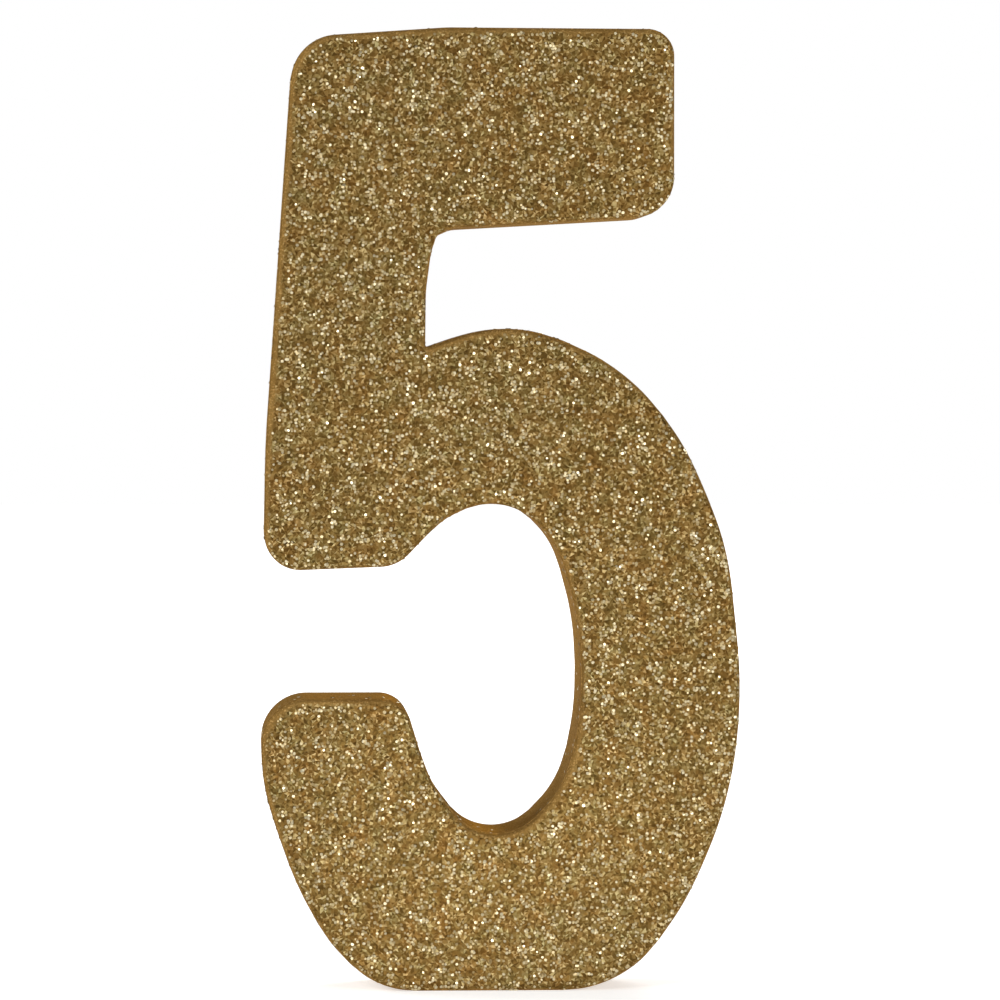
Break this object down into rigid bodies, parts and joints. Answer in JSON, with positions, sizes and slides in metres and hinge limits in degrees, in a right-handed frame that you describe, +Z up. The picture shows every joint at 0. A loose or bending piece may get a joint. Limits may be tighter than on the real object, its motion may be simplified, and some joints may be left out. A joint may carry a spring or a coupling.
{
  "type": "number birthday candle",
  "caption": "Number-shaped birthday candle on a flat foot, with a glitter front, gold lacquered sides and back, and a wick behind whose tip bends up to be lit.",
  "frame": {"origin": "on the flat foot, below the middle of the digit's thickness", "axes": "+Z up along the digit's height, -Y out of the glitter front, +X to the digit's right as seen from the front"},
  "size_m": [0.0374, 0.0118, 0.075],
  "materials": {
    "golden_wax": "cast paraffin wax, orange-brown, satin",
    "gold_lacquer": "brushed-on gold lacquer, satin sheen, sparse flakes of glitter",
    "gold_glitter": "dense gold glitter set in varnish",
    "waxed_cotton": "braided cotton, waxed"
  },
  "bodies": {
    "candle": {"wax_body": "golden_wax", "wick_seal": "golden_wax", "wick": "waxed_cotton", "glitter_coat": "gold_glitter", "edge_lacquer": "gold_lacquer", "back_lacquer": "gold_lacquer"},
    "tip": {"wick_tip": "waxed_cotton"}
  },
  "joints": [
    {"name": "wick_fold", "type": "hinge", "parent": "candle", "child": "tip", "pos_m": [-0.011, 0.006, 0.0715], "axis": [1, 0, 0], "range_deg": [0, 175]}
  ]
}
